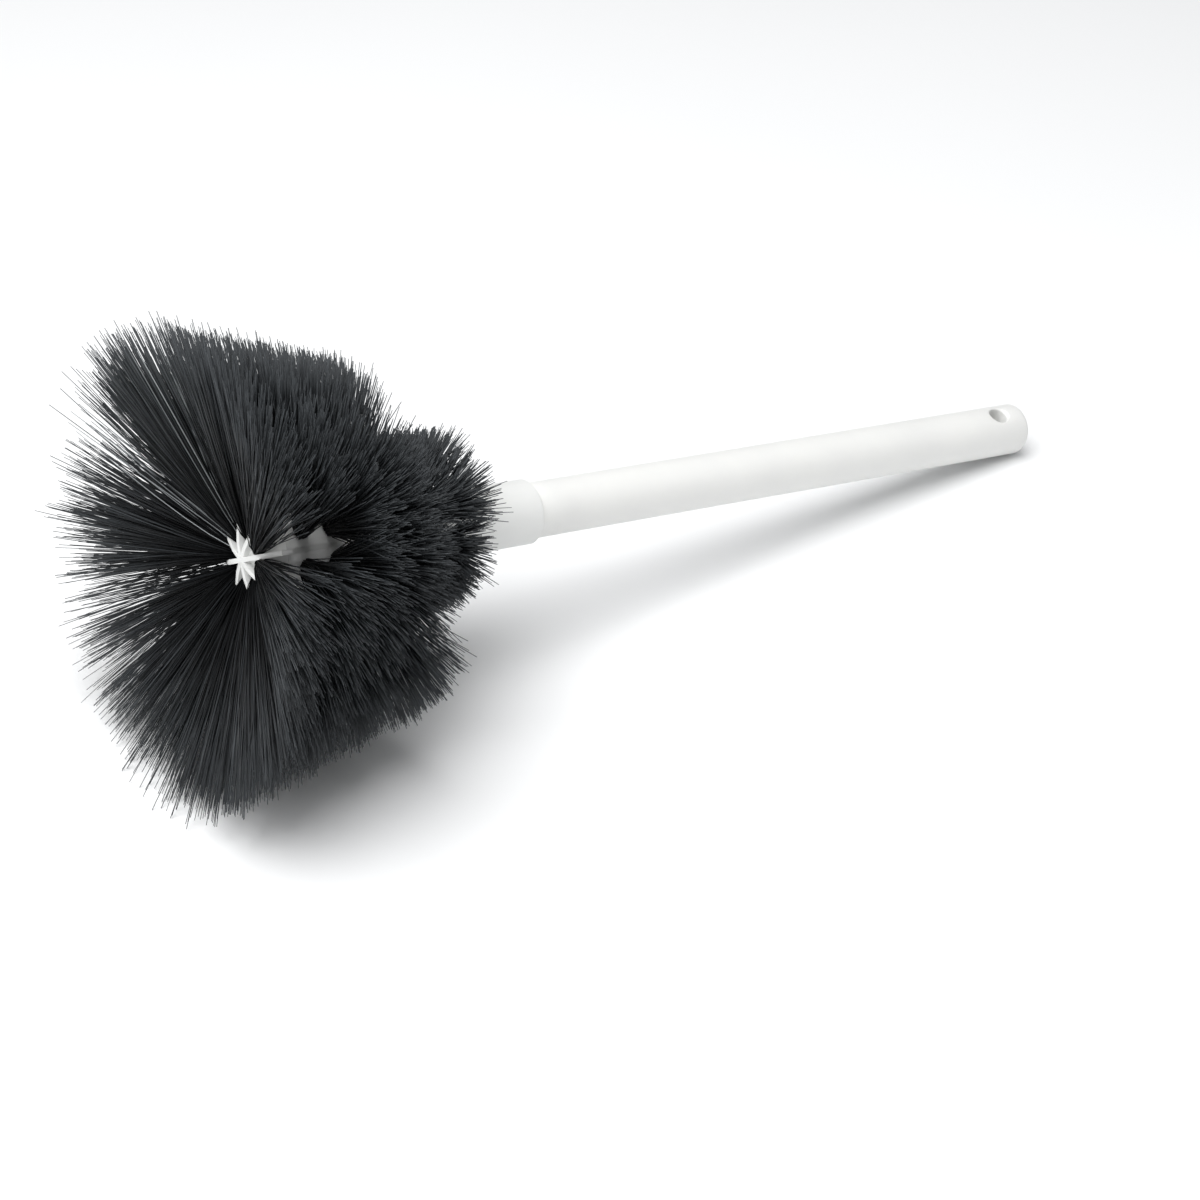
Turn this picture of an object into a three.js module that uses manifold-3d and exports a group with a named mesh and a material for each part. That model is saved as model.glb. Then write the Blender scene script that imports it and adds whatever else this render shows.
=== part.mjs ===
// A round cleaning brush, lying at rest. A drilled white core carries eight rows of black bristle
// tufts: four rings make the big bell-shaped front section, three make the small rear section.
// The core ends in a collar, and the round handle, with a hanging hole at its end, snaps into it.
//
// Millimetres, +Z up. The brush lies on the plane z = 0, on the trimmed tips of its lowest front
// tuft and on the end of its handle, which points to +X. The origin is below the middle of the whole.
// Places on the brush are given along its own axis, counted from the tip of the core's nose.

import * as THREE from "three";
import { mergeVertices } from "three/addons/utils/BufferGeometryUtils.js";
import Module from "manifold-3d";

const wasm = await Module();
wasm.setup();

const CLEARANCE = 0.3; // between pieces that touch on the real brush

const HANDLE = {
  radius: 10.5,
  start: 119, // where the collar ends
  end: 371.5,
  endRounding: 3,
  frontChamfer: 0.5,
};

const HANG_HOLE = {
  radius: 4,
  along: 357,
  turn: 20, // from the top towards -Y, in degrees
  chamfer: 1.6,
  chamferDepth: 9.4, // distance from the handle's axis at which the chamfer begins
};

const SPIGOT = {
  radius: 7.5,
  front: 88,
  chamfer: 1,
  ribRadius: 8.3,
  ribFront: 95,
  ribCrest: 98.3,
  ribBack: 99,
};

const SOCKET = {
  radius: SPIGOT.radius + CLEARANCE,
  bottom: SPIGOT.front - CLEARANCE,
  grooveRadius: SPIGOT.ribRadius + 0.4,
  grooveFront: SPIGOT.ribFront - 0.5,
  grooveBack: SPIGOT.ribBack + 0.5,
};

const CORE = {
  noseLength: 8, // of the dome that closes the barrel
  noseSteps: 8,
  radius: 16,
  barrelEnd: 66.5,
  collarStart: 79,
  collarRadius: 12.2,
  collarChamfer: 0.6,
};

// The star on the nose: thin ribs that cross the dome between the tufts and stand out a little past
// the barrel. Their front edge is given as [radius, along] points.
const RIB = {
  thickness: 1.8,
  edge: [[0, -2], [6, -1.9], [12, -0.8], [17, 1.4], [20, 3.6]],
};

// The holes for the tufts. Those in the dome lean forward by a set angle, in degrees from straight out.
const DOME_HOLE = { radius: 1.75, depth: 2.5, lean: 45 };
const BARREL_HOLE = { radius: 2.4, depth: 5 };

const TUFT = {
  rows: 8,
  fanStart: 0.8, // how far outside the hole's mouth the bristles begin to fan out
  firstRow: 36.9, // from the top towards -Y, in degrees
  halfAngle: 21.9, // half the sector that the tips of one tuft fill, in degrees
  squareness: 0.85, // how far the round bundle has become a rectangle at its tips
  sides: 16,
};

// The two lines, from one (along, radius) point to another, on which the bristles end.
const FRONT_TIPS = { along: [-29, 44], radius: [85, 64.5] };
const REAR_TIPS = { along: [46, 88], radius: [37.5, 34.5] };

// Each ring of tufts: its holes and their place, and the stretch of the tip line its bristles reach.
const RINGS = [
  { hole: DOME_HOLE, along: 1.45, tips: [-29, -8], line: FRONT_TIPS },
  { hole: BARREL_HOLE, along: 15, tips: [-8, 11], line: FRONT_TIPS },
  { hole: BARREL_HOLE, along: 26.5, tips: [11, 28], line: FRONT_TIPS },
  { hole: BARREL_HOLE, along: 37.5, tips: [28, 44], line: FRONT_TIPS },
  { hole: BARREL_HOLE, along: 48.5, tips: [46, 57], line: REAR_TIPS },
  { hole: BARREL_HOLE, along: 59, tips: [57, 70], line: REAR_TIPS },
  { hole: BARREL_HOLE, along: 69.5, tips: [70, 88], line: REAR_TIPS },
];

const REST_SINK = 2; // how much of the lowest bristles' length is flattened by lying on them
const TURNED_SIDES = 40;
const HOLE_SIDES = 12;

const radians = THREE.MathUtils.degToRad;

// ---------------------------------------------------------------- solids and cuts

function solidOf(geometry) {
  const bare = geometry.clone();
  bare.deleteAttribute("normal");
  bare.deleteAttribute("uv");
  const merged = mergeVertices(bare, 1e-3);
  return new wasm.Manifold(
    new wasm.Mesh({
      numProp: 3,
      vertProperties: merged.attributes.position.array,
      triVerts: new Uint32Array(merged.index.array),
    }),
  );
}

function geometryOf(solid) {
  const mesh = solid.getMesh();
  const geometry = new THREE.BufferGeometry();
  geometry.setAttribute("position", new THREE.BufferAttribute(mesh.vertProperties, 3));
  geometry.setIndex(new THREE.BufferAttribute(mesh.triVerts, 1));
  geometry.computeVertexNormals();
  return geometry;
}

// A solid of revolution about the brush's axis, from its outline as [along, radius] points.
function turned(outline) {
  const points = outline.map(([along, radius]) => new THREE.Vector2(radius, along));
  return new THREE.LatheGeometry(points, TURNED_SIDES).rotateZ(-Math.PI / 2);
}

// ---------------------------------------------------------------- white plastic pieces

// The nose is a dome whose height goes with the square of its radius.
function coreRadiusAt(along) {
  const { noseLength, radius, barrelEnd, collarStart, collarRadius } = CORE;
  if (along < noseLength) {
    return radius * Math.sqrt(along / noseLength);
  }
  if (along > barrelEnd) {
    const down = (along - barrelEnd) / (collarStart - barrelEnd);
    return THREE.MathUtils.lerp(radius, collarRadius, down);
  }
  return radius;
}

function noseDome() {
  const outline = [];
  for (let i = 0; i <= CORE.noseSteps; i++) {
    const out = i / CORE.noseSteps;
    outline.push([CORE.noseLength * out * out, CORE.radius * out]);
  }
  return outline;
}

function coreBlank() {
  const { collarRadius, collarChamfer } = CORE;
  const { radius, bottom, grooveRadius, grooveFront, grooveBack } = SOCKET;
  return turned([
    ...noseDome(),
    [CORE.barrelEnd, CORE.radius],
    [CORE.collarStart, collarRadius],
    [HANDLE.start - collarChamfer, collarRadius],
    [HANDLE.start, collarRadius - collarChamfer],
    [HANDLE.start, radius],
    [grooveBack, radius],
    [grooveBack, grooveRadius],
    [grooveFront, grooveRadius],
    [grooveFront, radius],
    [bottom, radius],
    [bottom, 0],
  ]);
}

// A rib from one side of the dome to the other, over the row at the top.
function ribPlate() {
  const half = RIB.edge.map(([radius, along]) => new THREE.Vector2(along, radius));
  const otherHalf = half.slice(1).map(({ x, y }) => new THREE.Vector2(x, -y));
  const [rim] = half.slice(-1);
  const back = [new THREE.Vector2(CORE.noseLength, rim.y), new THREE.Vector2(CORE.noseLength, -rim.y)];
  const shape = new THREE.Shape([...half, ...back, ...otherHalf.reverse()]);
  return new THREE.ExtrudeGeometry(shape, { depth: RIB.thickness, bevelEnabled: false })
    .translate(0, 0, -RIB.thickness / 2)
    .rotateX(Math.PI / 2);
}

function handleBlank() {
  const { radius, start, end, endRounding, frontChamfer } = HANDLE;
  const shoulder = start + CLEARANCE;
  const rounding = [];
  const steps = 4;
  for (let i = 0; i <= steps; i++) {
    const turn = ((i / steps) * Math.PI) / 2;
    rounding.push([
      end - endRounding + endRounding * Math.sin(turn),
      radius - endRounding + endRounding * Math.cos(turn),
    ]);
  }
  return turned([
    [SPIGOT.front, 0],
    [SPIGOT.front, SPIGOT.radius - SPIGOT.chamfer],
    [SPIGOT.front + SPIGOT.chamfer, SPIGOT.radius],
    [SPIGOT.ribFront, SPIGOT.radius],
    [SPIGOT.ribCrest, SPIGOT.ribRadius],
    [SPIGOT.ribBack, SPIGOT.ribRadius],
    [SPIGOT.ribBack, SPIGOT.radius],
    [shoulder, SPIGOT.radius],
    [shoulder, radius - frontChamfer],
    [shoulder + frontChamfer, radius],
    ...rounding,
    [end, 0],
  ]);
}

// The hanging hole with its two chamfered mouths, as a solid to cut away.
function hangHoleCutter() {
  const { radius, along, turn, chamfer, chamferDepth } = HANG_HOLE;
  const mouth = [
    [radius, chamferDepth],
    [radius + chamfer, chamferDepth + chamfer],
    [radius + chamfer, HANDLE.radius + chamfer],
  ];
  const upper = mouth.map(([r, z]) => new THREE.Vector2(r, z));
  const lower = mouth.map(([r, z]) => new THREE.Vector2(r, -z)).reverse();
  const ends = [lower[0].y, upper[upper.length - 1].y].map((z) => new THREE.Vector2(0, z));
  return new THREE.LatheGeometry([ends[0], ...lower, ...upper, ends[1]], 24)
    .rotateX(Math.PI / 2 + radians(turn))
    .translate(along, 0, 0);
}

// ---------------------------------------------------------------- bristle tufts

function tipRadiusAt(line, along) {
  return THREE.MathUtils.mapLinear(along, ...line.along, ...line.radius);
}

// Where a ring's tuft leaves the core, and which way its hole points, in the plane of the row at the
// top: the hole in the barrel points at the middle of the tuft's tips.
function rootOf(ring) {
  const mouth = new THREE.Vector3(ring.along, 0, coreRadiusAt(ring.along));
  if (ring.hole.lean) {
    const lean = radians(ring.hole.lean);
    return { mouth, outward: new THREE.Vector3(-Math.sin(lean), 0, Math.cos(lean)) };
  }
  const middle = (ring.tips[0] + ring.tips[1]) / 2;
  const tip = new THREE.Vector3(middle, 0, tipRadiusAt(ring.line, middle));
  return { mouth, outward: tip.sub(mouth).normalize() };
}

function holeCutter(ring) {
  const { mouth, outward } = rootOf(ring);
  const { radius, depth } = ring.hole;
  const proud = 3;
  const length = depth + proud;
  const upright = new THREE.Vector3(0, 1, 0);
  const turn = new THREE.Quaternion().setFromUnitVectors(upright, outward);
  const middle = mouth.clone().addScaledVector(outward, length / 2 - depth);
  return new THREE.CylinderGeometry(radius, radius, length, HOLE_SIDES)
    .applyQuaternion(turn)
    .translate(...middle);
}

// A tuft of the row at the top: a round stub in its hole, from just outside whose mouth straight
// bristles fan out to a patch of the tip line's surface of revolution. It is a cylinder whose bottom,
// middle and top rings of points are moved to the stub's end, the fan's start and the tips.
function tuftGeometry(ring) {
  const { mouth, outward } = rootOf(ring);
  const across = new THREE.Vector3(0, 1, 0);
  const lengthwise = new THREE.Vector3().crossVectors(across, outward);
  const bundle = ring.hole.radius - CLEARANCE;
  const middle = (ring.tips[0] + ring.tips[1]) / 2;
  const reach = (ring.tips[1] - ring.tips[0]) / 2 - CLEARANCE / 2;
  const geometry = new THREE.CylinderGeometry(1, 1, 1, TUFT.sides, 2);
  const position = geometry.attributes.position;
  const point = new THREE.Vector3();
  for (let i = 0; i < position.count; i++) {
    point.fromBufferAttribute(position, i);
    const { x, z } = point;
    if (point.y < 0.25) {
      const out = point.y < -0.25 ? CLEARANCE - ring.hole.depth : TUFT.fanStart;
      point.copy(mouth).addScaledVector(outward, out);
      point.addScaledVector(across, x * bundle).addScaledVector(lengthwise, z * bundle);
    } else {
      const widest = Math.max(Math.abs(x), Math.abs(z), 1e-9);
      const square = widest > 0.5 ? THREE.MathUtils.lerp(1, 1 / widest, TUFT.squareness) : 1;
      const along = middle + z * square * reach;
      const turn = x * square * radians(TUFT.halfAngle);
      const radius = tipRadiusAt(ring.line, along);
      point.set(along, radius * Math.sin(turn), radius * Math.cos(turn));
    }
    position.setXYZ(i, point.x, point.y, point.z);
  }
  return geometry;
}

// ---------------------------------------------------------------- the brush at rest

const whitePlastic = { color: 0xefefec, roughness: 0.38, metalness: 0 };
const blackBristle = { color: 0x17191c, roughness: 0.6, metalness: 0 };

function piece(name, geometry, look) {
  const mesh = new THREE.Mesh(geometry, new THREE.MeshStandardMaterial(look));
  mesh.name = name;
  return mesh;
}

const rowAngles = Array.from(
  { length: TUFT.rows },
  (_, row) => radians(TUFT.firstRow + (row * 360) / TUFT.rows),
);

// The tilt at which the flattened front rim and the handle's end both touch the ground.
const rimAlong = FRONT_TIPS.along[0];
const rimRadius = FRONT_TIPS.radius[0];
const heelAlong = HANDLE.end - HANDLE.endRounding;
const span = heelAlong - rimAlong;
const rise = rimRadius - HANDLE.radius;
const tilt = Math.atan2(rise, span) - Math.asin(REST_SINK / Math.hypot(span, rise));
const noseHeight = heelAlong * Math.sin(tilt) + HANDLE.radius * Math.cos(tilt);

const lying = new THREE.Group();
lying.rotation.y = tilt;
lying.position.z = noseHeight;
lying.updateMatrix();

const groundSize = 1000;
const ground = solidOf(
  new THREE.BoxGeometry(groundSize, groundSize, groundSize)
    .translate(0, 0, -groundSize / 2)
    .applyMatrix4(lying.matrix.clone().invert()),
);

let core = solidOf(coreBlank());
const valley = Math.PI / TUFT.rows;
for (const angle of rowAngles.slice(0, TUFT.rows / 2)) {
  core = core.add(solidOf(ribPlate().rotateX(angle + valley)));
}
for (const ring of RINGS) {
  for (const angle of rowAngles) {
    core = core.subtract(solidOf(holeCutter(ring).rotateX(angle)));
  }
}
lying.add(piece("head_core", geometryOf(core), whitePlastic));

const handle = solidOf(handleBlank()).subtract(solidOf(hangHoleCutter()));
lying.add(piece("handle", geometryOf(handle), whitePlastic));

RINGS.forEach((ring, ringIndex) => {
  rowAngles.forEach((angle, row) => {
    const tuft = solidOf(tuftGeometry(ring).rotateX(angle)).subtract(ground);
    lying.add(piece(`ring${ringIndex + 1}_tuft${row + 1}`, geometryOf(tuft), blackBristle));
  });
});

const roundBrush = new THREE.Group();
roundBrush.name = "round_brush";
roundBrush.add(lying);
roundBrush.updateMatrixWorld(true);
const centre = new THREE.Box3().setFromObject(roundBrush, true).getCenter(new THREE.Vector3());
roundBrush.position.set(-centre.x, -centre.y, 0);

export default roundBrush;
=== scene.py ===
"""Looks for the round bristle brush: filaments for every tuft, fine plastic for the core and handle.

Everything is in metres in the row frame. Places on the brush are given along its own axis, counted from
the tip of the core's nose, as (along, across, up), and row_point() takes them to the row frame.
"""

import math
from collections import namedtuple

import bmesh
import bpy
import numpy as np
from mathutils import Matrix, Vector


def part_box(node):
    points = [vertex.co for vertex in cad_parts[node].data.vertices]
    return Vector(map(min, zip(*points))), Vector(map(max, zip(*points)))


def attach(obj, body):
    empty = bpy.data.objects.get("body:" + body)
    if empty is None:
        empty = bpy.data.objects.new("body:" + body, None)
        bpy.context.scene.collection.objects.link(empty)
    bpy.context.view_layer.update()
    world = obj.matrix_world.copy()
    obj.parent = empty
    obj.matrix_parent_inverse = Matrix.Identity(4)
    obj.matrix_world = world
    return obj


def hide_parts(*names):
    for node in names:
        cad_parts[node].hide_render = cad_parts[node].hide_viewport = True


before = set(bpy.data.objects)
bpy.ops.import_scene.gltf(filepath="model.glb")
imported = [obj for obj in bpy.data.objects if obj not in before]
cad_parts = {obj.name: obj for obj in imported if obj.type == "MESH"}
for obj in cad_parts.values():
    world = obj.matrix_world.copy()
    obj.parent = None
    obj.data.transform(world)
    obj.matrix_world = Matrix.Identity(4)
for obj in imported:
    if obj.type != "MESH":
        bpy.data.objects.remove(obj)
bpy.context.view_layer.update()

MM = 0.001

# ---- Driving dimensions of the brush, in metres and radians: the CAD's own, but for the rings' tips ----
HANDLE_RADIUS = 10.5 * MM
HANDLE_START = 119 * MM
HANDLE_END = 371.5 * MM
HANDLE_ROUNDING = 3 * MM
HANDLE_CHAMFER = 0.5 * MM
SHOULDER_GAP = 0.3 * MM
SPIGOT_RADIUS = 7.5 * MM
SPIGOT_FRONT = 88 * MM
HOLE_ALONG = 357 * MM
HOLE_RADIUS = 4 * MM
HOLE_TURN = math.radians(20)
HOLE_FLARE = 1.6 * MM
HOLE_FLARE_START = 9.4 * MM  # from the handle's axis

NOSE_LENGTH = 8 * MM
CORE_RADIUS = 16 * MM
RIB_THICKNESS = 1.8 * MM
RIB_EDGE = ((0, -2), (6, -1.9), (12, -0.8), (17, 1.4), (20, 3.6))  # radius and place along, in mm
RIB_STAGGER = 0.05  # each rib plate behind the one before it, in mm, so that no two share an edge
BARREL_END = 66.5 * MM
COLLAR_START = 79 * MM
COLLAR_RADIUS = 12.2 * MM
COLLAR_CHAMFER = 0.6 * MM
SOCKET_RADIUS = 7.8 * MM
SOCKET_BOTTOM = 87.7 * MM

# lean: the hole's direction, from square to the axis towards the nose; without one the hole points at
# the middle of its tuft's tips.
Hole = namedtuple("Hole", "radius depth lean")
DOME_HOLE = Hole(1.75 * MM, 2.5 * MM, math.radians(45))
BARREL_HOLE = Hole(2.4 * MM, 5 * MM, None)
ROWS = 8
FIRST_ROW = math.radians(36.9)  # round the axis from the top, towards -Y

# How far out the tips reach, as straight lines between two (along, radius) points.
FRONT_TIPS = ((-29 * MM, 85 * MM), (44 * MM, 64.5 * MM))
REAR_TIPS = ((46 * MM, 37.5 * MM), (88 * MM, 34.5 * MM))

# along: where the holes are; first, last: where the tips begin and end; line: the tip line;
# count: the filaments of each tuft; spread: half the angle round the axis that they fill, in degrees.
# Neighbouring tufts' tips overlap by a few millimetres, and the front ones reach past the CAD's.
Ring = namedtuple("Ring", "along hole first last line count spread")
RINGS = (
    Ring(1.45 * MM, DOME_HOLE, -34 * MM, -8 * MM, FRONT_TIPS, 460, 24.5),
    Ring(15 * MM, BARREL_HOLE, -9 * MM, 12 * MM, FRONT_TIPS, 420, 24.5),
    Ring(26.5 * MM, BARREL_HOLE, 10 * MM, 29 * MM, FRONT_TIPS, 380, 25),
    Ring(37.5 * MM, BARREL_HOLE, 27 * MM, 46 * MM, FRONT_TIPS, 380, 26),
    Ring(48.5 * MM, BARREL_HOLE, 44 * MM, 58 * MM, REAR_TIPS, 280, 31),
    Ring(59 * MM, BARREL_HOLE, 56 * MM, 71 * MM, REAR_TIPS, 280, 31),
    Ring(69.5 * MM, BARREL_HOLE, 68 * MM, 89 * MM, REAR_TIPS, 300, 31),
)

# ---- How the brush lies: the tilt at which its flattened rim and its heel both touch the ground ----
REST_SINK = 2 * MM
HEEL = HANDLE_END - HANDLE_ROUNDING
SPAN = HEEL - FRONT_TIPS[0][0]
RISE = FRONT_TIPS[0][1] - HANDLE_RADIUS
TILT = math.atan2(RISE, SPAN) - math.asin(REST_SINK / math.hypot(SPAN, RISE))
AXIS = Vector((math.cos(TILT), 0, -math.sin(TILT)))
ACROSS = Vector((0, 1, 0))
UP = Vector((math.sin(TILT), 0, math.cos(TILT)))


def nose_place():
    """The nose's tip in the row frame, from the handle's box: its far end is the end's rounded edge."""
    end_edge = HEEL * AXIS.x + (HANDLE_RADIUS - HANDLE_ROUNDING) * UP.x + HANDLE_ROUNDING
    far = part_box("handle")[1][0]
    return Vector((far - end_edge, 0, HEEL * math.sin(TILT) + HANDLE_RADIUS * math.cos(TILT)))


NOSE = nose_place()
TO_ROW = Matrix.Translation(NOSE) @ Matrix((
    (AXIS.x, ACROSS.x, UP.x, 0),
    (AXIS.y, ACROSS.y, UP.y, 0),
    (AXIS.z, ACROSS.z, UP.z, 0),
    (0, 0, 0, 1),
))


def row_point(along, across=0.0, up=0.0):
    """A place on the brush, in the row frame."""
    return TO_ROW @ Vector((along, across, up))


# ---------------------------------------------------------------- shader nodes

MIX_FIRST, MIX_SECOND, MIX_RESULT = 6, 7, 2  # the colour sockets of a Mix node


def node_material(name):
    """A new material, its node tree and its shader."""
    material = bpy.data.materials.new(name)
    material.use_nodes = True
    tree = material.node_tree
    return material, tree, tree.nodes["Principled BSDF"]


def add_node(tree, kind, **values):
    """A new node; each value goes to the input of that name, or to the setting if there is no such input."""
    node = tree.nodes.new(kind)
    for key, value in values.items():
        if key in node.inputs:
            node.inputs[key].default_value = value
        else:
            setattr(node, key, value)
    return node


def noise(tree, place, **values):
    """Noise over the coordinates that the socket place gives."""
    node = add_node(tree, "ShaderNodeTexNoise", **values)
    tree.links.new(place, node.inputs["Vector"])
    return node.outputs["Fac"]


def ramp(tree, source, stops):
    """A colour ramp on a socket, from (position, colour) stops."""
    node = tree.nodes.new("ShaderNodeValToRGB")
    elements = node.color_ramp.elements
    elements[0].position, elements[0].color = stops[0][0], stops[0][1]
    elements[1].position, elements[1].color = stops[-1][0], stops[-1][1]
    for position, colour in stops[1:-1]:
        elements.new(position).color = colour
    tree.links.new(source, node.inputs[0])
    return node.outputs[0]


def map_range(tree, source, low=0.0, high=1.0, to_low=0.0, to_high=1.0):
    """A socket's stretch from low to high spread over to_low to to_high, and held at its ends."""
    node = tree.nodes.new("ShaderNodeMapRange")
    for label, value in (("From Min", low), ("From Max", high), ("To Min", to_low), ("To Max", to_high)):
        node.inputs[label].default_value = value
    tree.links.new(source, node.inputs["Value"])
    return node.outputs["Result"]


def mix_colours(tree, factor, first, second):
    """The first colour where the factor is 0 and the second where it is 1; each is a colour or a socket."""
    node = add_node(tree, "ShaderNodeMix", data_type="RGBA")
    tree.links.new(factor, node.inputs[0])
    for slot, colour in ((MIX_FIRST, first), (MIX_SECOND, second)):
        if isinstance(colour, tuple):
            node.inputs[slot].default_value = colour
        else:
            tree.links.new(colour, node.inputs[slot])
    return node.outputs[MIX_RESULT]


# ---------------------------------------------------------------- materials

# The palest and the darkest white in each plastic's clouding.
CORE_WHITES = ((0.80, 0.805, 0.79, 1), (0.76, 0.765, 0.75, 1))
HANDLE_WHITES = ((0.81, 0.81, 0.79, 1), (0.78, 0.78, 0.765, 1))
GLOSS_SPREAD = (-0.07, 0.10)  # how far uneven gloss takes the plastic's roughness down and up


def moulded_plastic(name, pale, shade, roughness):
    """Satin moulded plastic: slight clouding of the colour, uneven gloss and a fine grain."""
    material, tree, shader = node_material(name)
    place = tree.nodes.new("ShaderNodeTexCoord").outputs["Object"]
    cloud = noise(tree, place, Scale=38.0, Detail=4.0, Roughness=0.55)
    tree.links.new(ramp(tree, cloud, [(0.32, shade), (0.62, pale)]), shader.inputs["Base Color"])
    smear = noise(tree, place, Scale=150.0, Detail=3.0, Roughness=0.6)
    glossiest, dullest = (roughness + change for change in GLOSS_SPREAD)
    gloss = map_range(tree, smear, to_low=glossiest, to_high=dullest)
    tree.links.new(gloss, shader.inputs["Roughness"])
    grain = noise(tree, place, Scale=2600.0, Detail=2.0)
    bump = add_node(tree, "ShaderNodeBump", Strength=0.25, Distance=0.06 * MM)
    tree.links.new(grain, bump.inputs["Height"])
    tree.links.new(bump.outputs["Normal"], shader.inputs["Normal"])
    shader.inputs["IOR"].default_value = 1.49
    shader.inputs["Subsurface Weight"].default_value = 0.08
    shader.inputs["Subsurface Radius"].default_value = (4 * MM, 4 * MM, 4.5 * MM)
    return material


# Shades of the filaments: black ones lie between 0 and the first; pale ones, a painted highlight, between
# the second and 1.
LIGHTEST_BLACK = 0.85
DARKEST_PALE = 0.92


def bristle_nylon():
    """Black nylon: each filament has its own shade and paler worn tips; painted shade darkens it towards its
    root, where it is also less glossy, and pale filaments carry a painted highlight.
    """
    material, tree, shader = node_material("bristle_nylon")
    shade = add_node(tree, "ShaderNodeAttribute", attribute_name="shade").outputs["Fac"]
    reach = add_node(tree, "ShaderNodeAttribute", attribute_name="reach").outputs["Fac"]
    body = ramp(tree, shade, [
        (0.0, (0.003, 0.0034, 0.004, 1)),
        (0.55, (0.009, 0.010, 0.0115, 1)),
        (LIGHTEST_BLACK, (0.05, 0.056, 0.062, 1)),
    ])
    wear = map_range(tree, reach, low=0.55, to_high=0.55)
    worn = mix_colours(tree, wear, body, (0.075, 0.083, 0.09, 1))
    # Painted shade: each filament is darkened to near black towards its root, where the tuft's own shade
    # falls; the same share also makes it less glossy there.
    free = map_range(tree, reach, low=0.1, high=0.8)
    black = mix_colours(tree, free, (0.002, 0.0022, 0.0025, 1), worn)
    # Painted highlight: filaments with the pale shades are painted a light grey, standing in for light
    # caught at the edges of some fans.
    painted_highlight = map_range(tree, shade, low=LIGHTEST_BLACK)
    colour = mix_colours(tree, painted_highlight, black, (0.34, 0.36, 0.37, 1))
    tree.links.new(colour, shader.inputs["Base Color"])
    gleam = map_range(tree, free, to_low=0.02, to_high=0.3)
    tree.links.new(gleam, shader.inputs["Specular IOR Level"])
    shader.inputs["Roughness"].default_value = 0.5
    shader.inputs["IOR"].default_value = 1.53
    return material


def plain_floor():
    """A matt, nearly white floor with the faintest clouding."""
    material, tree, shader = node_material("pale_floor")
    cloud = noise(tree, tree.nodes.new("ShaderNodeTexCoord").outputs["Object"], Scale=2.0)
    stops = [(0.3, (0.88, 0.885, 0.89, 1)), (0.7, (0.90, 0.905, 0.91, 1))]
    tree.links.new(ramp(tree, cloud, stops), shader.inputs["Base Color"])
    shader.inputs["Roughness"].default_value = 0.8
    return material


# ---------------------------------------------------------------- meshes

TURNED_SIDES = 128
ON_AXIS = 1e-7  # a smaller radius is a single point on the axis
BEVELLED_ANGLE = math.radians(32)
SHARP_ANGLE = math.radians(40)


def add_piece(name, mesh, material, nodes):
    """A finished piece of the brush: shown in place of its CAD nodes, and riding on the one body."""
    piece = bpy.data.objects.new(name, mesh)
    bpy.context.scene.collection.objects.link(piece)
    mesh.materials.append(material)
    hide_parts(*nodes)
    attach(piece, "root")


def mesh_of(name, vertices, faces):
    """A mesh of quads and triangles from numpy arrays, smooth all over."""
    mesh = bpy.data.meshes.new(name)
    mesh.vertices.add(len(vertices))
    mesh.vertices.foreach_set("co", np.ascontiguousarray(vertices, np.float32).ravel())
    sizes = np.concatenate([np.full(len(f), f.shape[1], np.int32) for f in faces])
    loops = np.concatenate([f.astype(np.int32).ravel() for f in faces])
    mesh.loops.add(len(loops))
    mesh.loops.foreach_set("vertex_index", loops)
    mesh.polygons.add(len(sizes))
    mesh.polygons.foreach_set("loop_start", np.concatenate([[0], np.cumsum(sizes)[:-1]]).astype(np.int32))
    mesh.polygons.foreach_set("use_smooth", np.ones(len(sizes), bool))
    mesh.update(calc_edges=True)
    mesh.validate()
    return mesh


def turned(outline, sides):
    """A closed bmesh of revolution about the brush's axis, from (along, radius) points."""
    bm = bmesh.new()
    rings = []
    for along, radius in outline:
        if radius < ON_AXIS:
            rings.append([bm.verts.new((along, 0, 0))])
            continue
        angles = (2 * math.pi * i / sides for i in range(sides))
        rings.append([bm.verts.new((along, radius * math.sin(a), radius * math.cos(a))) for a in angles])
    for low, high in zip(rings, rings[1:]):
        for i in range(sides):
            j = (i + 1) % sides
            if len(low) == 1:
                bm.faces.new((low[0], high[i], high[j]))
            elif len(high) == 1:
                bm.faces.new((low[i], high[0], low[j]))
            else:
                bm.faces.new((low[i], high[i], high[j], low[j]))
    bmesh.ops.recalc_face_normals(bm, faces=bm.faces)
    return bm


def arc(centre, radius, start, end, steps):
    """Points of an outline's rounded edge, from one direction to another, in radians from +along."""
    turns = (start + (end - start) * i / steps for i in range(steps + 1))
    return [(centre[0] + radius * math.cos(t), centre[1] + radius * math.sin(t)) for t in turns]


def object_of(name, bm):
    """A bmesh as an object in the scene, for the modifiers to work with."""
    mesh = bpy.data.meshes.new(name)
    bm.to_mesh(mesh)
    bm.free()
    made = bpy.data.objects.new(name, mesh)
    bpy.context.scene.collection.objects.link(made)
    return made


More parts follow.
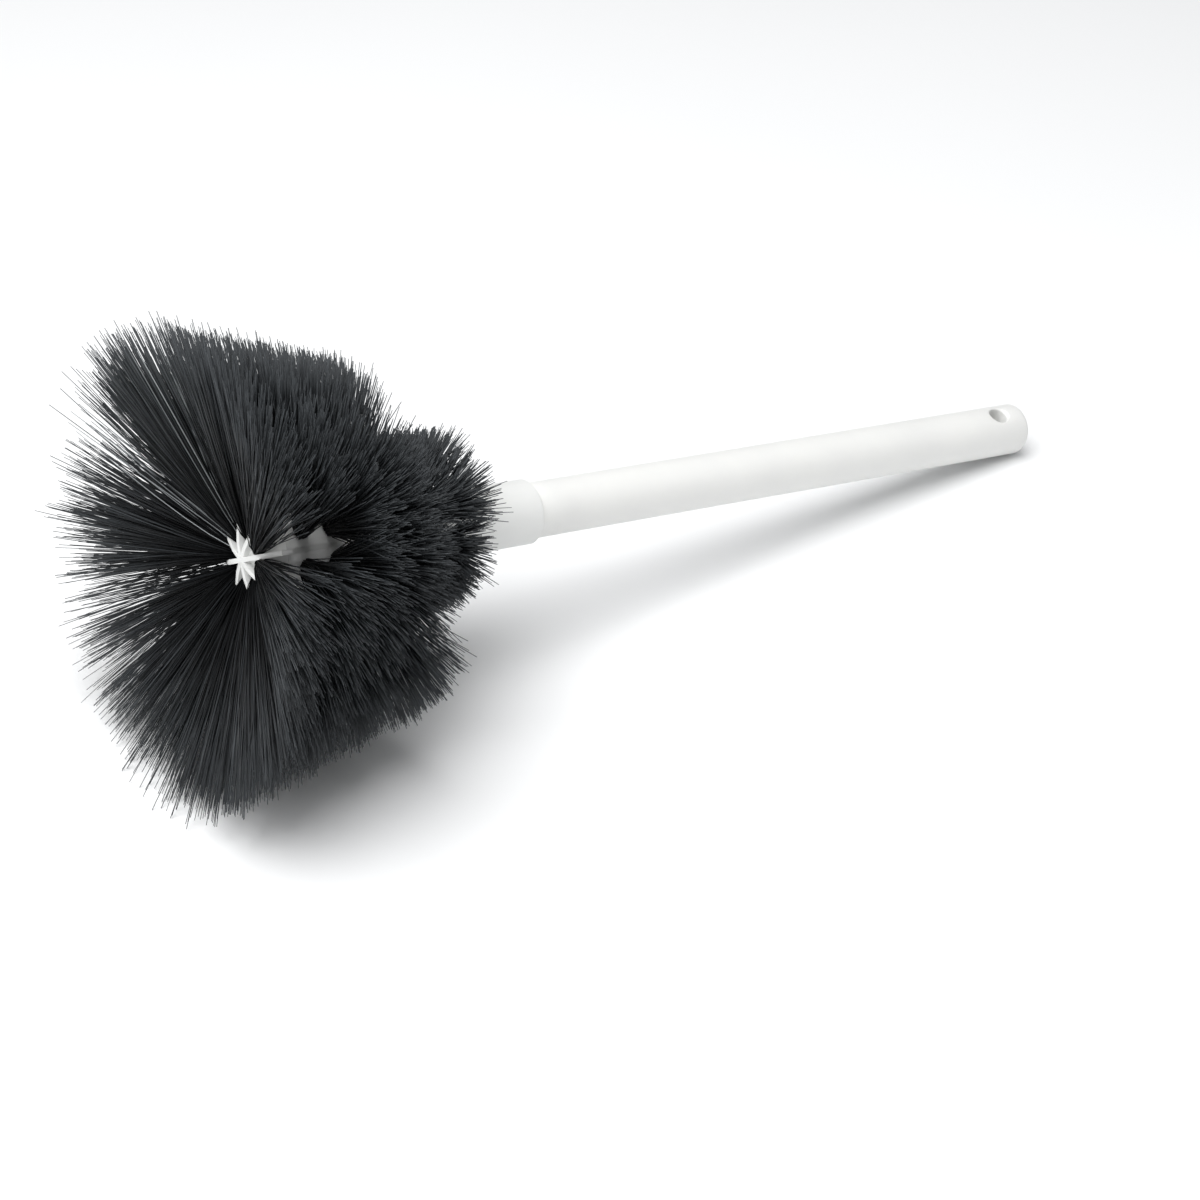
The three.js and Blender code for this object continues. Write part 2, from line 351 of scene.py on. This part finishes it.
def cut_away(target, cutter, edge, added=()):
    """target with the added solids and without cutter, its sharp edges softened; a mesh in the row frame."""
    for solid in added:
        join = target.modifiers.new("join", "BOOLEAN")
        join.operation, join.solver, join.object = "UNION", "EXACT", solid
    cut = target.modifiers.new("cut", "BOOLEAN")
    cut.operation, cut.solver, cut.object = "DIFFERENCE", "EXACT", cutter
    soft = target.modifiers.new("soft", "BEVEL")
    soft.width, soft.segments = edge, 2
    soft.limit_method, soft.angle_limit = "ANGLE", BEVELLED_ANGLE
    soft.use_clamp_overlap = True
    view = bpy.context.evaluated_depsgraph_get()
    mesh = bpy.data.meshes.new_from_object(target.evaluated_get(view))
    mesh.name = target.name
    for used in (target, cutter, *added):
        bpy.data.objects.remove(used)
    mesh.transform(TO_ROW)
    mesh.shade_smooth()
    mesh.set_sharp_from_angle(angle=SHARP_ANGLE)
    return mesh


# ---------------------------------------------------------------- tuft holes and ribs

HOLE_SIDES = 20
CUTTER_OVERHANG = 3 * MM  # how far a hole's cutter stands out of its mouth


def core_radius_at(along):
    """The core's radius under a tuft hole: on the dome, the barrel or the slope down to the collar."""
    if along < NOSE_LENGTH:
        return CORE_RADIUS * math.sqrt(along / NOSE_LENGTH)
    if along > BARREL_END:
        down = (along - BARREL_END) / (COLLAR_START - BARREL_END)
        return CORE_RADIUS + (COLLAR_RADIUS - CORE_RADIUS) * down
    return CORE_RADIUS


def row_angles():
    """The angle of each row of tufts round the axis."""
    return [FIRST_ROW + 2 * math.pi * row / ROWS for row in range(ROWS)]


def tip_radius(line, along):
    """How far from the axis a tip line is, at one or many places along it."""
    (a0, r0), (a1, r1) = line
    return r0 + (r1 - r0) * (along - a0) / (a1 - a0)


def ring_root(ring):
    """The middle of the hole's mouth and the hole's direction, as (along, out from the axis)."""
    mouth = Vector((ring.along, core_radius_at(ring.along)))
    if ring.hole.lean:
        return mouth, Vector((-math.sin(ring.hole.lean), math.cos(ring.hole.lean)))
    middle = (ring.first + ring.last) / 2
    tip = Vector((middle, tip_radius(ring.line, middle)))
    return mouth, (tip - mouth).normalized()


def hole_cutters():
    """Every tuft hole as one object to cut away."""
    bm = bmesh.new()
    for ring in RINGS:
        mouth, way = ring_root(ring)
        length = ring.hole.depth + CUTTER_OVERHANG
        middle = mouth + way * (length / 2 - ring.hole.depth)
        lean = math.atan2(way.x, way.y)
        for angle in row_angles():
            place = (Matrix.Rotation(angle, 4, "X")
                     @ Matrix.Translation((middle.x, 0, middle.y))
                     @ Matrix.Rotation(lean, 4, "Y"))
            bmesh.ops.create_cone(bm, cap_ends=True, segments=HOLE_SIDES, radius1=ring.hole.radius,
                                  radius2=ring.hole.radius, depth=length, matrix=place)
    return object_of("tuft_holes", bm)


def rib_plates():
    """The ribs that cross the dome between the rows of tufts, each from one side to the other."""
    plates = []
    for number, angle in enumerate(row_angles()[:ROWS // 2]):
        stagger = RIB_STAGGER * number
        half = [((along + stagger) * MM, radius * MM) for radius, along in RIB_EDGE]
        rim = half[-1][1]
        back = NOSE_LENGTH + stagger * MM
        outline = half + [(back, rim), (back, -rim)] + [(a, -r) for a, r in half[:0:-1]]
        bm = bmesh.new()
        sides = [[bm.verts.new((a, y, r)) for a, r in outline]
                 for y in (-RIB_THICKNESS / 2, RIB_THICKNESS / 2)]
        for side in sides:
            bm.faces.new(side)
        for i, corner in enumerate(sides[0]):
            bm.faces.new((corner, sides[0][i - 1], sides[1][i - 1], sides[1][i]))
        bmesh.ops.recalc_face_normals(bm, faces=bm.faces)
        bm.transform(Matrix.Rotation(angle + math.pi / ROWS, 4, "X"))
        plates.append(object_of("rib", bm))
    return plates


# ---------------------------------------------------------------- core and handle

DOME_STEPS = 20
GRIP_STEPS = 24
ROUNDING_STEPS = 10
HANG_HOLE_SIDES = 64
HANG_HOLE_OVERHANG = 2 * MM  # how far the hanging hole's cutter stands out of the handle
CORE_EDGE = 0.25 * MM  # how wide the softened edges are
GRIP_EDGE = 0.35 * MM


def build_core(material):
    """The white core: ribbed nose, drilled barrel, and a collar with the handle's socket."""
    dome = [(NOSE_LENGTH * (i / DOME_STEPS) ** 2, CORE_RADIUS * i / DOME_STEPS)
            for i in range(DOME_STEPS + 1)]
    outline = dome + [
        (BARREL_END, CORE_RADIUS),
        (COLLAR_START, COLLAR_RADIUS),
        (HANDLE_START - COLLAR_CHAMFER, COLLAR_RADIUS),
        (HANDLE_START, COLLAR_RADIUS - COLLAR_CHAMFER),
        (HANDLE_START, SOCKET_RADIUS),
        (SOCKET_BOTTOM, SOCKET_RADIUS),
        (SOCKET_BOTTOM, 0),
    ]
    blank = object_of("core", turned(outline, TURNED_SIDES))
    core = cut_away(blank, hole_cutters(), CORE_EDGE, rib_plates())
    add_piece("core", core, material, ["head_core"])


def hang_hole_cutter():
    """The hanging hole with its flared mouths, right through the handle."""
    wide = HOLE_RADIUS + HOLE_FLARE
    end = HANDLE_RADIUS + HANG_HOLE_OVERHANG
    mouth = [(HOLE_FLARE_START, HOLE_RADIUS), (HOLE_FLARE_START + HOLE_FLARE, wide), (end, wide)]
    hole = [(-z, r) for z, r in reversed(mouth)] + mouth
    bm = turned([(-end, 0)] + hole + [(end, 0)], HANG_HOLE_SIDES)
    bm.transform(Matrix.Translation((HOLE_ALONG, 0, 0))
                 @ Matrix.Rotation(HOLE_TURN, 4, "X") @ Matrix.Rotation(-math.pi / 2, 4, "Y"))
    return object_of("hang_hole", bm)


def build_handle(material):
    """The white handle: spigot, straight round grip, rounded end and hanging hole."""
    shoulder = HANDLE_START + SHOULDER_GAP
    outline = [
        (SPIGOT_FRONT, 0),
        (SPIGOT_FRONT, SPIGOT_RADIUS),
        (shoulder, SPIGOT_RADIUS),
        (shoulder, HANDLE_RADIUS - HANDLE_CHAMFER),
    ]
    outline += [(shoulder + HANDLE_CHAMFER + (HEEL - shoulder) * i / GRIP_STEPS, HANDLE_RADIUS)
                for i in range(GRIP_STEPS)]
    outline += arc((HEEL, HANDLE_RADIUS - HANDLE_ROUNDING), HANDLE_ROUNDING, math.pi / 2, 0, ROUNDING_STEPS)
    outline.append((HANDLE_END, 0))
    blank = object_of("grip", turned(outline, TURNED_SIDES))
    add_piece("grip", cut_away(blank, hang_hole_cutter(), GRIP_EDGE), material, ["handle"])


# ---------------------------------------------------------------- bristles

FILAMENT_RADIUS = 0.2 * MM
FILAMENT_SIDES = 3
FILAMENT_STEPS = 6
TAPER_START = 0.9  # the share of a filament's length from which it narrows
TAPER = 0.35  # how much of its thickness it has lost at the tip

# How the tips fill a fan that reaches from -1 to 1 both ways.
CLUMPS = 24  # groups that a tuft's filaments gather into
GATHERING = (0.1, 0.6)  # how far towards its middle a group's filaments move
FAN_SQUARENESS = 0.9
FAN_FILL = 1.06
PARTING = 0.13  # the share of a parted tuft's fan that is left empty in the middle
PALE_FROM = 0.87  # at pale edges, the filaments beyond this are pale

# How filaments stray from their place and shape; the shares are of a filament's length or thickness.
STRAY_TURN = math.radians(1.4)
STRAY_ALONG = 1.2 * MM
STRAY_LENGTH = 0.02
BROKEN_FILAMENTS = 0.15  # the share of the filaments that are broken off
BROKEN_LENGTH = 0.12  # and the most that they have lost
STRAY_WEAR = 0.04
STRAY_THICKNESS = 0.07
SWAY = 0.02
HOOK = 0.018
OUT_OF_HOLE = 0.6  # how far a filament keeps to its hole's direction, as a share of the hole's depth
FIRST_BEND = 0.1  # and how far its bend is on the way to its tip

LOWEST_LINE = FILAMENT_RADIUS * 1.1  # how low a centre line can lie
LAID_HEIGHT = 1.5 * MM  # filaments start to bend this far above it

# Valleys between rows that stand open near the front: the fans' edges beside them, in degrees from the
# tuft's middle, as (rings, row, lower edge or None, upper edge or None). Row angles fall as these rise.
OPEN_EDGES = (
    ((1,), 1, -17, None),
    ((2,), 1, -13, None),
    ((1, 2), 2, None, 18),
    ((3, 4), 1, -31, None),
    ((3, 4), 2, None, 31),
    ((1,), 6, -22, None),
    ((1,), 7, -21.5, 21.5),
    ((1,), 8, None, 21.5),
)
# A tuft is a pair here: the numbers of its ring and its row, counted from 1.
SPLIT_TUFT = (1, 5)  # a tuft whose filaments have parted in the middle
# Painted highlight: the filaments at these fan edges are painted pale.
HIGHLIGHT_EDGES = {(1, 6): (-1,), (1, 7): (-1, 1), (1, 8): (1,)}  # fan edges whose filaments catch the light
# Tufts pushed out of shape in use: how far their tips have moved towards the handle, in mm.
SWEPT = {(4, 2): 3, (3, 3): 4, (4, 3): 10, (4, 4): 4}
# Rows whose rear tufts are worn shorter: the share of their length that is left.
WORN_REAR = {2: 0.85, 3: 0.74, 4: 0.78}


NO_WIDTH = 1e-6  # keeps a point in the very middle of the disc from dividing by zero


def disc_points(count, rng):
    """Points spread over the unit disc."""
    radius = np.sqrt(rng.random(count))
    turn = rng.random(count) * 2 * np.pi
    return np.stack([radius * np.cos(turn), radius * np.sin(turn)], axis=1)


def squared(points, share):
    """Points of the disc moved outwards towards the square round it."""
    widest = np.maximum(np.abs(points).max(axis=1), NO_WIDTH)
    size = np.linalg.norm(points, axis=1)
    return points * (1 + share * (size / widest - 1))[:, None]


def fan_edges(tuft):
    """The fan's two edges round the axis, in radians from the tuft's middle."""
    ring_number, row = tuft
    high = RINGS[ring_number - 1].spread
    low = -high
    for rings, open_row, lower, upper in OPEN_EDGES:
        if ring_number in rings and row == open_row:
            low = low if lower is None else lower
            high = high if upper is None else upper
    return math.radians(low), math.radians(high)


def fan_places(tuft, disc, rng):
    """Each filament's place in its fan, as (across, along), gathered into clumps."""
    clump_of = rng.integers(0, CLUMPS, len(disc))
    centres = disc_points(CLUMPS, rng)
    gather = rng.uniform(*GATHERING, CLUMPS)[clump_of]
    places = squared(disc + (centres[clump_of] - disc) * gather[:, None], FAN_SQUARENESS) * FAN_FILL
    if tuft == SPLIT_TUFT:
        places[:, 0] = np.sign(places[:, 0]) * (PARTING + (1 - PARTING) * np.abs(places[:, 0]))
    return places


def tip_places(tuft, ring, places, rng):
    """The tips of whole filaments, from their places in the fan."""
    low, high = fan_edges(tuft)
    turn = (low + high) / 2 + places[:, 0] * (high - low) / 2 + rng.normal(0, STRAY_TURN, len(places))
    along = (ring.first + ring.last) / 2 + places[:, 1] * (ring.last - ring.first) / 2
    along += rng.normal(0, STRAY_ALONG, len(places))
    radius = tip_radius(ring.line, along)
    along += SWEPT.get(tuft, 0) * MM
    return np.stack([along, radius * np.sin(turn), radius * np.cos(turn)], axis=1)


def lengths_left(row, ring, rng):
    """The share of its length that each filament of a tuft has kept."""
    left = rng.normal(1.0, STRAY_LENGTH, ring.count)
    left -= BROKEN_LENGTH * rng.random(ring.count) * (rng.random(ring.count) < BROKEN_FILAMENTS)
    if ring.line is REAR_TIPS:
        left *= WORN_REAR.get(row, 1) * rng.normal(1, STRAY_WEAR, ring.count)
    return left


def root_places(ring, disc):
    """Where the filaments start, side by side halfway down their hole, and the hole's direction."""
    mouth, way = ring_root(ring)
    across = np.array([0.0, 1.0, 0.0])
    outward = np.array([way.x, 0.0, way.y])
    lengthwise = np.cross(across, outward)
    bundle = (ring.hole.radius - FILAMENT_RADIUS) * disc
    root = (np.array([mouth.x, 0.0, mouth.y]) - outward * ring.hole.depth / 2
            + bundle[:, :1] * across + bundle[:, 1:] * lengthwise)
    return root, outward


def bent_lines(root, heading, tip, rng):
    """Centre lines that leave the hole along heading, sway on their way and end in a slight hook."""
    reach = np.linalg.norm(tip - root, axis=1, keepdims=True)
    bend = root + heading + (tip - root) * FIRST_BEND
    sway = rng.normal(0, 1, root.shape) * reach * SWAY
    t = np.linspace(0, 1, FILAMENT_STEPS + 1)[None, :, None]
    lines = (1 - t) ** 2 * root[:, None] + 2 * t * (1 - t) * (bend + sway)[:, None] + t ** 2 * tip[:, None]
    hook = rng.normal(0, 1, root.shape) * reach * HOOK
    return lines + hook[:, None] * t ** 3


def filament_shades(tuft, places, rng):
    """Each filament's shade: black, or pale as a painted highlight at an edge of the fan that catches the
    light.
    """
    shades = rng.random(len(places)) * LIGHTEST_BLACK
    for side in HIGHLIGHT_EDGES.get(tuft, ()):
        pale = rng.uniform(DARKEST_PALE, 1, len(places))
        shades = np.where(places[:, 0] * side > PALE_FROM, pale, shades)
    return shades


def tuft_lines(tuft, angle, rng):
    """One tuft's filaments: their centre lines (filament, step, 3) in the row frame, and their shades."""
    ring_number, row = tuft
    ring = RINGS[ring_number - 1]
    disc = disc_points(ring.count, rng)
    places = fan_places(tuft, disc, rng)
    whole = tip_places(tuft, ring, places, rng)
    root, outward = root_places(ring, disc)
    tip = root + (whole - root) * lengths_left(row, ring, rng)[:, None]
    lines = bent_lines(root, outward * ring.hole.depth * OUT_OF_HOLE, tip, rng)
    lines = lines @ np.array(Matrix.Rotation(angle, 3, "X")).T
    to_row = np.array(TO_ROW)
    return lines @ to_row[:3, :3].T + to_row[:3, 3], filament_shades(tuft, places, rng)


def laid_on_ground(lines):
    """The lines with those that would pass below the ground bent to lie along it."""
    height = lines[..., 2]
    above = height - LOWEST_LINE - LAID_HEIGHT
    laid = LOWEST_LINE + LAID_HEIGHT * np.exp(above / LAID_HEIGHT)
    return np.concatenate([lines[..., :2], np.where(above < 0, laid, height)[..., None]], axis=-1)


def filaments(name, lines, shades, rng):
    """A mesh of thin tapering prisms along centre lines, closed at both ends."""
    count, points = lines.shape[:2]
    ahead = np.gradient(lines, axis=1)
    ahead /= np.linalg.norm(ahead, axis=2, keepdims=True)
    reference = rng.normal(0, 1, (count, 1, 3))
    side = np.cross(ahead, reference)
    side /= np.linalg.norm(side, axis=2, keepdims=True)
    other = np.cross(ahead, side)
    t = np.linspace(0, 1, points)
    taper = np.where(t > TAPER_START, 1 - TAPER * (t - TAPER_START) / (1 - TAPER_START), 1)
    thickness = rng.normal(1, STRAY_THICKNESS, (count, 1)) * FILAMENT_RADIUS * taper
    turns = 2 * np.pi * np.arange(FILAMENT_SIDES) / FILAMENT_SIDES
    ring = (lines[:, :, None] + thickness[..., None, None]
            * (side[:, :, None] * np.cos(turns)[None, None, :, None]
               + other[:, :, None] * np.sin(turns)[None, None, :, None]))
    vertices = ring.reshape(-1, 3)
    base = (np.arange(count)[:, None, None] * points + np.arange(points - 1)[None, :, None]) * FILAMENT_SIDES
    i = np.arange(FILAMENT_SIDES)[None, None, :]
    j = (i + 1) % FILAMENT_SIDES
    quads = np.stack([base + i, base + j, base + FILAMENT_SIDES + j, base + FILAMENT_SIDES + i], axis=3)
    first = np.arange(count)[:, None] * points * FILAMENT_SIDES
    low = first + np.arange(FILAMENT_SIDES)[::-1]
    high = first + (points - 1) * FILAMENT_SIDES + np.arange(FILAMENT_SIDES)
    mesh = mesh_of(name, vertices, [quads.reshape(-1, 4), low, high])
    shade = np.repeat(shades, points * FILAMENT_SIDES)
    reach = np.tile(np.repeat(t, FILAMENT_SIDES), count)
    for label, values in (("shade", shade), ("reach", reach)):
        layer = mesh.attributes.new(label, "FLOAT", "POINT")
        layer.data.foreach_set("value", values.astype(np.float32))
    return mesh


RING_SEED = 100


def build_bristles(material):
    """Every tuft, each a piece with random numbers of its own."""
    for ring_number in range(1, len(RINGS) + 1):
        for row, angle in enumerate(row_angles(), 1):
            rng = np.random.default_rng(RING_SEED * ring_number + row)
            lines, shades = tuft_lines((ring_number, row), angle, rng)
            tuft = f"ring{ring_number}_tuft{row}"
            name = f"bristles_{tuft}"
            mesh = filaments(name, laid_on_ground(lines), shades, rng)
            add_piece(name, mesh, material, [tuft])


# ---------------------------------------------------------------- floor, light and camera

FLOOR_SIZE = 12
SKY_COLOUR = (0.97, 0.985, 1.0, 1)
SKY_STRENGTH = 0.29

Lamp = namedtuple("Lamp", "name place target size power")
LAMPS = (
    Lamp("key", (-0.5, -0.15, 1.85), (-0.1, 0, 0.05), 2.1, 49),
    Lamp("fill", (-1.3, -0.6, 0.55), (-0.18, 0, 0.08), 0.8, 4),
)

# The viewpoint: above the brush, from its front left.
VIEWED_ALONG = 171.8 * MM  # the place on the brush's axis that it is measured from
VIEW_AZIMUTH = math.radians(-36.2)
VIEW_ELEVATION = math.radians(30.7)
VIEW_DISTANCE = 1.066
VIEW_OFF_LEFT = 0.01358  # how far the camera looks past that place, as slopes
VIEW_OFF_DOWN = 0.03887
LENS = 83.5  # in mm, like the sensor's width
SENSOR_WIDTH = 36


def build_stage():
    """The floor and the even light from all round."""
    bpy.ops.mesh.primitive_plane_add(size=FLOOR_SIZE)
    floor = bpy.context.object
    floor.name = "floor"
    floor.data.materials.append(plain_floor())
    world = bpy.data.worlds.new("studio")
    bpy.context.scene.world = world
    world.use_nodes = True
    sky = world.node_tree.nodes["Background"]
    sky.inputs["Color"].default_value = SKY_COLOUR
    sky.inputs["Strength"].default_value = SKY_STRENGTH


def add_area_light(lamp):
    """A round soft light, turned towards its target."""
    light = bpy.data.lights.new(lamp.name, "AREA")
    light.shape, light.size, light.energy = "DISK", lamp.size, lamp.power
    made = bpy.data.objects.new(lamp.name, light)
    bpy.context.scene.collection.objects.link(made)
    made.location = lamp.place
    made.rotation_euler = (Vector(lamp.target) - Vector(lamp.place)).to_track_quat("-Z", "Y").to_euler()


def build_camera():
    """The camera at its viewpoint, looking slightly past the brush."""
    level = math.cos(VIEW_ELEVATION)
    back = Vector((math.sin(VIEW_AZIMUTH) * level, -math.cos(VIEW_AZIMUTH) * level,
                   math.sin(VIEW_ELEVATION)))
    right = Vector((math.cos(VIEW_AZIMUTH), math.sin(VIEW_AZIMUTH), 0))
    above = right.cross(-back)
    camera = bpy.data.cameras.new("camera")
    camera.lens, camera.sensor_width = LENS, SENSOR_WIDTH
    eye = bpy.data.objects.new("camera", camera)
    bpy.context.scene.collection.objects.link(eye)
    eye.location = row_point(VIEWED_ALONG) + back * VIEW_DISTANCE
    ahead = -back - right * VIEW_OFF_LEFT - above * VIEW_OFF_DOWN
    eye.rotation_euler = ahead.to_track_quat("-Z", "Y").to_euler()
    bpy.context.scene.camera = eye


build_core(moulded_plastic("core_plastic", *CORE_WHITES, roughness=0.42))
build_handle(moulded_plastic("handle_plastic", *HANDLE_WHITES, roughness=0.40))
build_bristles(bristle_nylon())
build_stage()
for lamp in LAMPS:
    add_area_light(lamp)
build_camera()
bpy.context.scene.view_settings.view_transform = "Standard"
